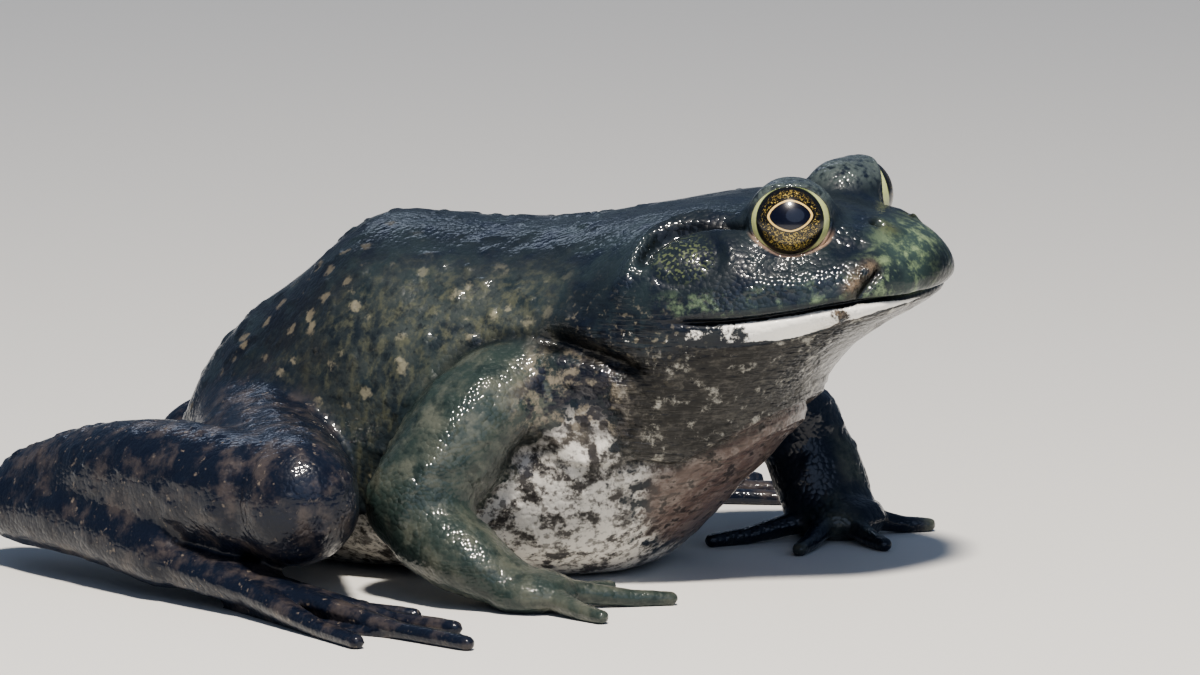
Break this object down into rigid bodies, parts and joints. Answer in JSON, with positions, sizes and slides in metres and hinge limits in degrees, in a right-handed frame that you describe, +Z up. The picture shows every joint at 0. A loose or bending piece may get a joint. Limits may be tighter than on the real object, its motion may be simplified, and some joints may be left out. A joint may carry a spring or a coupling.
{
  "type": "american bullfrog model",
  "caption": "Life-size still model of an adult American bullfrog sitting on its belly, head raised, hands forward, hind legs folded at its sides.",
  "frame": {"origin": "on the floor under the sacral hump, in the flat of the belly", "axes": "+X forward to the snout, +Y to the animal's left, +Z up"},
  "size_m": [0.1597, 0.175, 0.0693],
  "materials": {
    "back_skin": "wet, finely granular, slate green",
    "throat_skin": "wet, cream mottled with dark brown",
    "arm_skin": "wet, grey green with dark blotches",
    "leg_skin": "wet, blue black with brown blotches",
    "eardrum_skin": "granular, dark with yellow-green specks",
    "eye": "clear gloss over a gold-flecked iris and a blue-black pupil"
  },
  "bodies": {
    "root": {"trunk": "back_skin", "head": "back_skin", "lower_jaw": "throat_skin", "eye_left": "eye", "eye_right": "eye", "eardrum_left": "eardrum_skin", "eardrum_right": "eardrum_skin", "upper_arm_left": "arm_skin", "upper_arm_right": "arm_skin", "forearm_left": "arm_skin", "forearm_right": "arm_skin", "hand_left": "arm_skin", "hand_right": "arm_skin", "thigh_left": "leg_skin", "thigh_right": "leg_skin", "shank_left": "leg_skin", "shank_right": "leg_skin", "tarsus_left": "leg_skin", "tarsus_right": "leg_skin", "foot_left": "leg_skin", "foot_right": "leg_skin"}
  },
  "joints": []
}
